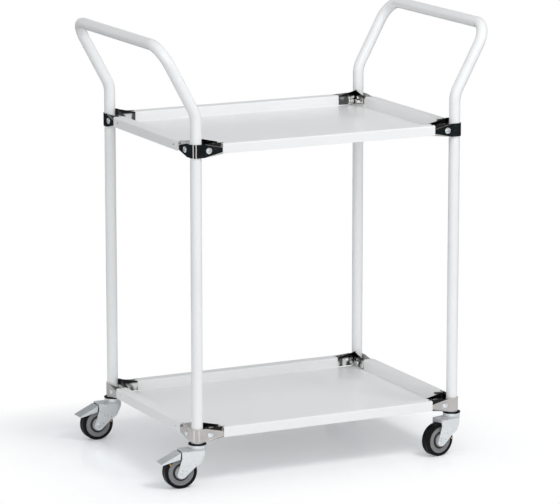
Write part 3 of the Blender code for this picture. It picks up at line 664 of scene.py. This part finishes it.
def axle_mesh(zinc):
    """Riveted axle with a rounded head and a peened dimple on both sides."""
    cheek = 0.0178
    end = [(0.0, cheek + 0.0010), (0.0012, cheek + 0.0011), (0.0020, cheek + 0.0020), (0.0040, cheek + 0.0019)]
    end += [(0.0052, cheek + 0.0014), (0.0055, cheek + 0.0008), (0.0055, cheek), (0.0040, cheek)]
    profile = [(radius, -along) for radius, along in end]
    profile += end[::-1]
    return revolve("axle", profile, 32, "Y", zinc, 35)


def core_mesh(plastic):
    """Moulded wheel centre: hub, groove, dished web and a raised outer lip."""
    half = [(0.0043, 0.0147), (0.0060, 0.0147), (0.0066, 0.0141), (0.0078, 0.0141), (0.0084, 0.0147)]
    half += [(0.0150, 0.0147), (0.0155, 0.0142), (0.0158, 0.0108), (0.0165, 0.0068), (0.0176, 0.0065)]
    half += [(0.0186, 0.0070), (0.0194, 0.0098), (0.0200, 0.0105), (0.0210, 0.0105), (0.0216, 0.0101)]
    half += [(0.0280, 0.0098), (0.0284, 0.0104), (0.0299, 0.0105)]
    profile = [(radius, -along) for radius, along in half]
    profile += half[::-1]
    return revolve("wheel_core", profile, 96, "Y", plastic, 35)


def tyre_mesh(rubber):
    """Tyre with rounded shoulders, two fine grooves and a moulding line."""
    side = [(0.0305, 0.0110), (0.0307, 0.0116), (0.0315, 0.0119), (0.0340, 0.0120)]
    side += arc((0.0345, 0.0090), 0.0030, math.pi / 2, 0, 8)
    side += [(0.0375, 0.0080), (0.0371, 0.0078), (0.0371, 0.0072), (0.0375, 0.0070), (0.0375, 0.0004)]
    profile = [(radius, -along) for radius, along in side]
    profile += [(0.0373, 0.0)] + side[::-1]
    return revolve("tyre", profile, 128, "Y", rubber, 40)


def spot_mesh(yellow):
    """Thin round mark."""
    profile = [(0.0, 0.0), (0.0016, 0.0), (0.0019, 0.0001), (0.0019, 0.0003), (0.0, 0.0003)]
    return revolve("spot", profile, 20, "Z", yellow, 35)


def swivel_place(corner):
    side_x, side_y, _ = CORNERS[corner]
    place = Matrix.Translation((side_x * POST_X, side_y * POST_Y, 0))
    return place @ Matrix.Rotation(math.radians(SWIVELS[corner]), 4, "Z")


def add_casters(zinc, plastic, rubber, yellow):
    drum, cap, axle, fork = drum_mesh(zinc), cap_mesh(rubber), axle_mesh(zinc), fork_mesh(zinc)
    core, tyre, spot = core_mesh(plastic), tyre_mesh(rubber), spot_mesh(yellow)
    for corner, (side_x, side_y, _) in CORNERS.items():
        centre = Matrix.Translation((side_x * POST_X, side_y * POST_Y, 0))
        swivel, wheel = "swivel_fork_" + corner, "wheel_" + corner
        piece("bearing_drum_" + corner, drum, "frame", centre, ["caster_head_" + corner])
        piece("dark_disc_" + corner, cap, "frame", centre)
        turned = swivel_place(corner)
        shell = piece("pressed_fork_" + corner, fork, swivel, turned, ["fork_" + corner])
        press(shell, FORK_SHEET)
        hub = turned @ Matrix.Translation((-TRAIL, 0, WHEEL))
        piece("riveted_axle_" + corner, axle, swivel, hub, ["axle_" + corner])
        piece("wheel_centre_" + corner, core, wheel, hub, ["wheel_core_" + corner])
        piece("wheel_tyre_" + corner, tyre, wheel, hub, ["tyre_" + corner])
        angle = math.radians(SPOT_ANGLES[corner])
        spot_place = (SPOT_REACH * math.cos(angle), -SPOT_SIDE, SPOT_REACH * math.sin(angle))
        mark = hub @ Matrix.Translation(spot_place) @ Matrix.Rotation(math.pi / 2, 4, "X")
        piece("tyre_spot_" + corner, spot, wheel, mark)
    for corner in ("fl", "bl"):
        NODES["pedal_" + corner].data.materials[0] = zinc
        soften("pedal_" + corner, PEDAL_EDGE)


# ---------------------------------------------------------------- trays

def add_trays(paint, chrome):
    rivet = spot_mesh(chrome)
    for level, height in LEVELS.items():
        NODES["tray_" + level].data.materials[0] = paint
        for corner, (side_x, side_y, _) in CORNERS.items():
            along, across = side_x * (POST_X + RIVET_SIDE), side_y * (POST_Y - RIVET_INSET)
            place = Matrix.Translation((along, across, height - RIVET_DROP))
            place = place @ Matrix.Rotation(side_x * math.pi / 2, 4, "Y")
            piece("skirt_rivet_" + level + "_" + corner, rivet, "frame", place)


# ---------------------------------------------------------------- studio

def strip_share(material, degrees):
    """Narrow sector of the floor on one side of the object, from 0 beside it to 1 along its middle."""
    turn = math.radians(degrees)
    unit = add_node(material, "ShaderNodeVectorMath", operation="NORMALIZE")
    link(material, object_position(material), unit.inputs[0])
    towards = add_node(material, "ShaderNodeVectorMath", operation="DOT_PRODUCT")
    towards.inputs[1].default_value = (math.cos(turn), math.sin(turn), 0.0)
    link(material, unit.outputs[0], towards.inputs[0])
    edge, core = math.cos(math.radians(8)), math.cos(math.radians(5))
    return remap(material, towards.outputs["Value"], 0.0, 1.0, edge, core)


def outside_shadow(material):
    """Share of plain white on the floor, from 0 round the object's shadow to 1 away from it."""
    offset = add_node(material, "ShaderNodeVectorMath", operation="SUBTRACT")
    offset.inputs[1].default_value = SHADOW_CENTRE
    link(material, object_position(material), offset.inputs[0])
    size = add_node(material, "ShaderNodeVectorMath", operation="ABSOLUTE")
    link(material, offset.outputs[0], size.inputs[0])
    past = add_node(material, "ShaderNodeVectorMath", operation="SUBTRACT")
    past.inputs[1].default_value = SHADOW_HALF
    link(material, size.outputs[0], past.inputs[0])
    clear = add_node(material, "ShaderNodeVectorMath", operation="MAXIMUM")
    link(material, past.outputs[0], clear.inputs[0])
    length = add_node(material, "ShaderNodeVectorMath", operation="LENGTH")
    link(material, clear.outputs[0], length.inputs[0])
    return remap(material, length.outputs["Value"], 0.0, 1.0, SHADOW_FADE_START, SHADOW_FADE_END)


def floor_material():
    """Pale floor: white round the object's soft shadow for the camera, that shadow lifted by a painted glow;
    dark further off for metal.
    """
    material = bpy.data.materials.new("floor")
    material.use_nodes = True
    material.node_tree.nodes.clear()
    output = add_node(material, "ShaderNodeOutputMaterial")
    plain = add_node(material, "ShaderNodeBsdfDiffuse", Color=(0.80, 0.80, 0.80, 1.0))
    seen = add_node(material, "ShaderNodeBsdfDiffuse", Color=(0.95, 0.955, 0.96, 1.0))
    # Painted light: an even glow for the camera that lifts the floor's shadow and tints it blue.
    glow = add_node(material, "ShaderNodeEmission", Color=(0.94, 0.98, 1.0, 1.0), Strength=0.18)
    dark = add_node(material, "ShaderNodeEmission", Color=(0.013, 0.019, 0.022, 1.0), Strength=1.0)
    strip = add_node(material, "ShaderNodeEmission", Color=(1.0, 1.0, 1.0, 1.0), Strength=1.0)
    with_strip = add_node(material, "ShaderNodeMixShader")
    gloss = add_node(material, "ShaderNodeBsdfGlossy", Color=(1.0, 1.0, 1.0, 1.0), Roughness=0.12)
    sheen = add_node(material, "ShaderNodeMixShader", Fac=0.10)
    lit = add_node(material, "ShaderNodeAddShader")
    path = add_node(material, "ShaderNodeLightPath")
    for_camera = add_node(material, "ShaderNodeMixShader")
    for_metal = add_node(material, "ShaderNodeMixShader")
    distance = add_node(material, "ShaderNodeVectorMath", operation="LENGTH")
    link(material, object_position(material), distance.inputs[0])
    far = remap(material, distance.outputs["Value"], 0.0, 1.0, MIRROR_FLOOR_START, MIRROR_FLOOR_END)
    beyond = outside_shadow(material)
    white = add_node(material, "ShaderNodeEmission", Color=(1.0, 1.0, 1.0, 1.0), Strength=1.0)
    open_floor = add_node(material, "ShaderNodeMixShader")
    strips = add_node(material, "ShaderNodeMath", operation="MAXIMUM")
    for degrees, socket in zip(STRIP_DEGREES, strips.inputs):
        link(material, strip_share(material, degrees), socket)
    metal = add_node(material, "ShaderNodeMath", operation="MAXIMUM")
    link(material, far, metal.inputs[0])
    link(material, strips.outputs[0], metal.inputs[1])
    both = add_node(material, "ShaderNodeMath", operation="MULTIPLY")
    link(material, metal.outputs[0], both.inputs[0])
    link(material, path.outputs["Is Glossy Ray"], both.inputs[1])
    link(material, seen.outputs[0], sheen.inputs[1])
    link(material, gloss.outputs[0], sheen.inputs[2])
    link(material, sheen.outputs[0], lit.inputs[0])
    link(material, glow.outputs[0], lit.inputs[1])
    link(material, path.outputs["Is Camera Ray"], for_camera.inputs["Fac"])
    link(material, plain.outputs[0], for_camera.inputs[1])
    link(material, beyond, open_floor.inputs["Fac"])
    link(material, lit.outputs[0], open_floor.inputs[1])
    link(material, white.outputs[0], open_floor.inputs[2])
    link(material, open_floor.outputs[0], for_camera.inputs[2])
    link(material, both.outputs[0], for_metal.inputs["Fac"])
    link(material, for_camera.outputs[0], for_metal.inputs[1])
    link(material, strips.outputs[0], with_strip.inputs["Fac"])
    link(material, dark.outputs[0], with_strip.inputs[1])
    link(material, strip.outputs[0], with_strip.inputs[2])
    link(material, with_strip.outputs[0], for_metal.inputs[2])
    link(material, for_metal.outputs[0], output.inputs["Surface"])
    return material


def add_floor():
    bm = bmesh.new()
    corners = [(x * FLOOR_REACH, y * FLOOR_REACH, 0) for x, y in ((-1, -1), (1, -1), (1, 1), (-1, 1))]
    bm.faces.new([bm.verts.new(corner) for corner in corners])
    item = bpy.data.objects.new("floor", finish_mesh("floor", bm, floor_material()))
    bpy.context.scene.collection.objects.link(item)


def add_key():
    """One soft lamp from above the front, kept out of the reflections."""
    data = bpy.data.lights.new("key", "AREA")
    data.shape = "RECTANGLE"
    data.size, data.size_y = KEY_SIDE, KEY_SIDE
    data.energy = KEY_POWER
    item = bpy.data.objects.new("key", data)
    item.location = KEY_PLACE
    item.rotation_mode = "QUATERNION"
    item.rotation_quaternion = (Vector(KEY_TARGET) - Vector(KEY_PLACE)).to_track_quat("-Z", "Y")
    item.visible_glossy = False
    bpy.context.scene.collection.objects.link(item)


def add_world():
    """Bright horizon, darker ceiling and bright walls; glossy rays see a window, the camera sees white."""
    world = bpy.data.worlds.new("studio")
    bpy.context.scene.world = world
    world.use_nodes = True
    background = world.node_tree.nodes["Background"]
    background.inputs["Color"].default_value = (0.975, 0.995, 1.01, 1)
    direction = add_node(world, "ShaderNodeTexCoord").outputs["Generated"]
    split = add_node(world, "ShaderNodeSeparateXYZ")
    link(world, direction, split.inputs[0])

    def total(first, second):
        node = add_node(world, "ShaderNodeMath")
        link(world, first, node.inputs[0])
        link(world, second, node.inputs[1])
        return node.outputs[0]

    def lobe(towards, level, start, full):
        node = add_node(world, "ShaderNodeVectorMath", operation="DOT_PRODUCT")
        node.inputs[1].default_value = Vector(towards).normalized()
        link(world, direction, node.inputs[0])
        return remap(world, node.outputs["Value"], 0.0, level, start, full)

    ceiling = remap(world, split.outputs["Z"], WORLD_HORIZON, WORLD_ZENITH, 0.0, 0.9)
    behind = remap(world, split.outputs["Y"], 0.0, WORLD_BEHIND, -0.1, 0.8)
    walls = total(behind, lobe(LEFT_WALL, WORLD_LEFT, 0.3, 1.0))
    link(world, total(ceiling, walls), background.inputs["Strength"])
    mirrored = add_node(world, "ShaderNodeBackground", Color=(1, 1, 1, 1))
    dome = remap(world, split.outputs["Z"], MIRROR_HORIZON, MIRROR_CEILING, 0.25, 0.5)
    window = lobe(WINDOW_PLACE, MIRROR_WINDOW, 0.84, 0.93)
    link(world, total(dome, window), mirrored.inputs["Strength"])
    white = add_node(world, "ShaderNodeBackground", Color=(1, 1, 1, 1), Strength=1.0)
    path = add_node(world, "ShaderNodeLightPath")
    for_metal = add_node(world, "ShaderNodeMixShader")
    for_camera = add_node(world, "ShaderNodeMixShader")
    link(world, path.outputs["Is Glossy Ray"], for_metal.inputs["Fac"])
    link(world, background.outputs[0], for_metal.inputs[1])
    link(world, mirrored.outputs[0], for_metal.inputs[2])
    link(world, path.outputs["Is Camera Ray"], for_camera.inputs["Fac"])
    link(world, for_metal.outputs[0], for_camera.inputs[1])
    link(world, white.outputs[0], for_camera.inputs[2])
    link(world, for_camera.outputs[0], world.node_tree.nodes["World Output"].inputs["Surface"])


def add_camera():
    data = bpy.data.cameras.new("camera")
    data.lens = CAMERA_LENS
    data.sensor_width = 36.0
    data.clip_end = 200.0
    item = bpy.data.objects.new("camera", data)
    back = Vector((
        -math.sin(CAMERA_AZIMUTH) * math.cos(CAMERA_ELEVATION),
        -math.cos(CAMERA_AZIMUTH) * math.cos(CAMERA_ELEVATION),
        math.sin(CAMERA_ELEVATION),
    ))
    item.location = CAMERA_PIVOT + back * CAMERA_DISTANCE
    item.rotation_mode = "QUATERNION"
    item.rotation_quaternion = (CAMERA_AIM - item.location).to_track_quat("-Z", "Y")
    bpy.context.scene.collection.objects.link(item)
    bpy.context.scene.camera = item


def main():
    paint = powder_coat()
    chrome = bright_chrome()
    zinc = zinc_plate()
    plastic, rubber, yellow = grey_plastic(), black_rubber(), spot_paint()
    add_end_frames(paint)
    add_trays(paint, chrome)
    add_corners(chrome, clamp_chrome(), zinc)
    add_casters(zinc, plastic, rubber, yellow)
    add_floor()
    add_world()
    add_key()
    add_camera()
    bpy.context.scene.view_settings.view_transform = "Standard"


main()
